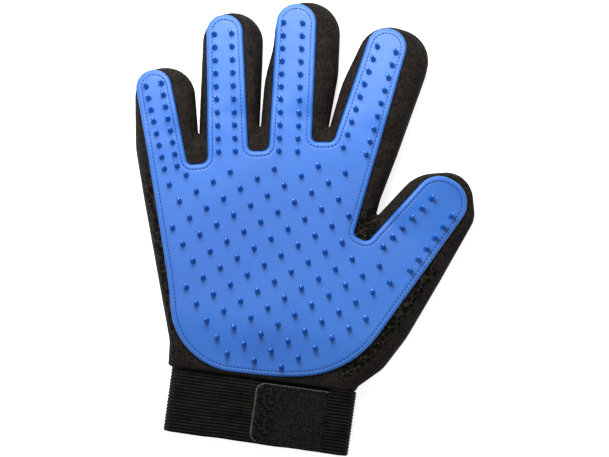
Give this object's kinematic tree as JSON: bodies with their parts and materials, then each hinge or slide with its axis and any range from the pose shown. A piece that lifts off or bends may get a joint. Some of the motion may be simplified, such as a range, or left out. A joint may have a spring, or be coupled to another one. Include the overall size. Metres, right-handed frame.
{
  "type": "grooming glove",
  "caption": "Five-finger glove with a nubbed rubber palm pad for grooming pet fur, and a hook-and-loop wrist strap; fingers bend, strap opens.",
  "frame": {"origin": "middle of the bounding box in X and Y, on the surface that the glove lies on", "axes": "+Z out of the palm, +Y from the wrist to the fingertips, +X towards the thumb"},
  "size_m": [0.1869, 0.2493, 0.026],
  "materials": {
    "rubber_pad": "satin, moulded",
    "shell_fabric": "matte knit",
    "air_mesh": "open spacer mesh",
    "hem_binding": "matte woven tape",
    "band_elastic": "ribbed elastic",
    "hook_tab": "woven hook tape",
    "loop_pile": "fuzzy loop pile"
  },
  "bodies": {
    "hand": {"palm_pad": "rubber_pad", "palm_facing": "shell_fabric", "back_panel": "air_mesh", "side_gusset_little": "shell_fabric", "side_gusset_thumb": "shell_fabric", "web_little_ring": "shell_fabric", "web_ring_middle": "shell_fabric", "web_middle_index": "shell_fabric", "web_index_thumb": "shell_fabric", "wrist_hem": "hem_binding", "wrist_elastic": "band_elastic", "loop_patch": "loop_pile"},
    "little_base": {"little_base_pad": "rubber_pad", "little_base_facing": "shell_fabric", "little_base_gusset": "shell_fabric", "little_base_back": "air_mesh"},
    "little_tip": {"little_tip_pad": "rubber_pad", "little_tip_facing": "shell_fabric", "little_tip_gusset": "shell_fabric", "little_tip_back": "air_mesh"},
    "ring_base": {"ring_base_pad": "rubber_pad", "ring_base_facing": "shell_fabric", "ring_base_gusset": "shell_fabric", "ring_base_back": "air_mesh"},
    "ring_tip": {"ring_tip_pad": "rubber_pad", "ring_tip_facing": "shell_fabric", "ring_tip_gusset": "shell_fabric", "ring_tip_back": "air_mesh"},
    "middle_base": {"middle_base_pad": "rubber_pad", "middle_base_facing": "shell_fabric", "middle_base_gusset": "shell_fabric", "middle_base_back": "air_mesh"},
    "middle_tip": {"middle_tip_pad": "rubber_pad", "middle_tip_facing": "shell_fabric", "middle_tip_gusset": "shell_fabric", "middle_tip_back": "air_mesh"},
    "index_base": {"index_base_pad": "rubber_pad", "index_base_facing": "shell_fabric", "index_base_gusset": "shell_fabric", "index_base_back": "air_mesh"},
    "index_tip": {"index_tip_pad": "rubber_pad", "index_tip_facing": "shell_fabric", "index_tip_gusset": "shell_fabric", "index_tip_back": "air_mesh"},
    "thumb_base": {"thumb_base_pad": "rubber_pad", "thumb_base_facing": "shell_fabric", "thumb_base_gusset": "shell_fabric", "thumb_base_back": "air_mesh"},
    "thumb_tip": {"thumb_tip_pad": "rubber_pad", "thumb_tip_facing": "shell_fabric", "thumb_tip_gusset": "shell_fabric", "thumb_tip_back": "air_mesh"},
    "strap": {"strap_elastic": "band_elastic"},
    "tab": {"hook_tab": "hook_tab"}
  },
  "joints": [
    {"name": "little_knuckle", "type": "hinge", "parent": "hand", "child": "little_base", "pos_m": [-0.07705, 0.04984, 0.0235], "axis": [0.9796, 0.2011, 0], "range_deg": [0, 80], "stiffness_Nm_per_rad": 0.01},
    {"name": "little_end_joint", "type": "hinge", "parent": "little_base", "child": "little_tip", "pos_m": [-0.0797, 0.06271, 0.0235], "axis": [0.9796, 0.2011, 0], "range_deg": [0, 80], "stiffness_Nm_per_rad": 0.008},
    {"name": "ring_knuckle", "type": "hinge", "parent": "hand", "child": "ring_base", "pos_m": [-0.04346, 0.06029, 0.0235], "axis": [0.9995, 0.0332, 0], "range_deg": [0, 80], "stiffness_Nm_per_rad": 0.01},
    {"name": "ring_end_joint", "type": "hinge", "parent": "ring_base", "child": "ring_tip", "pos_m": [-0.04417, 0.08175, 0.0235], "axis": [0.9995, 0.0332, 0], "range_deg": [0, 80], "stiffness_Nm_per_rad": 0.008},
    {"name": "middle_knuckle", "type": "hinge", "parent": "hand", "child": "middle_base", "pos_m": [-0.00862, 0.06012, 0.0235], "axis": [0.9992, -0.0401, 0], "range_deg": [0, 80], "stiffness_Nm_per_rad": 0.01},
    {"name": "middle_end_joint", "type": "hinge", "parent": "middle_base", "child": "middle_tip", "pos_m": [-0.00777, 0.08119, 0.0235], "axis": [0.9992, -0.0401, 0], "range_deg": [0, 80], "stiffness_Nm_per_rad": 0.008},
    {"name": "index_knuckle", "type": "hinge", "parent": "hand", "child": "index_base", "pos_m": [0.03047, 0.05303, 0.0235], "axis": [0.9877, -0.1564, 0], "range_deg": [0, 80], "stiffness_Nm_per_rad": 0.01},
    {"name": "index_end_joint", "type": "hinge", "parent": "index_base", "child": "index_tip", "pos_m": [0.03708, 0.07388, 0.0235], "axis": [0.9532, -0.3024, 0], "range_deg": [0, 80], "stiffness_Nm_per_rad": 0.008},
    {"name": "thumb_knuckle", "type": "hinge", "parent": "hand", "child": "thumb_base", "pos_m": [0.05737, -0.008, 0.0235], "axis": [0.7547, -0.6561, 0], "range_deg": [0, 80], "stiffness_Nm_per_rad": 0.01},
    {"name": "thumb_end_joint", "type": "hinge", "parent": "thumb_base", "child": "thumb_tip", "pos_m": [0.06716, 0.00326, 0.0235], "axis": [0.7547, -0.6561, 0], "range_deg": [0, 80], "stiffness_Nm_per_rad": 0.008},
    {"name": "strap_open", "type": "hinge", "parent": "hand", "child": "strap", "pos_m": [0.02395, -0.10725, 0.0172], "axis": [0.1392, 0.9903, 0], "range_deg": [0, 140]},
    {"name": "tab_peel", "type": "hinge", "parent": "strap", "child": "tab", "pos_m": [0.01108, -0.10544, 0.0194], "axis": [0.1392, 0.9903, 0], "range_deg": [0, 40]}
  ]
}
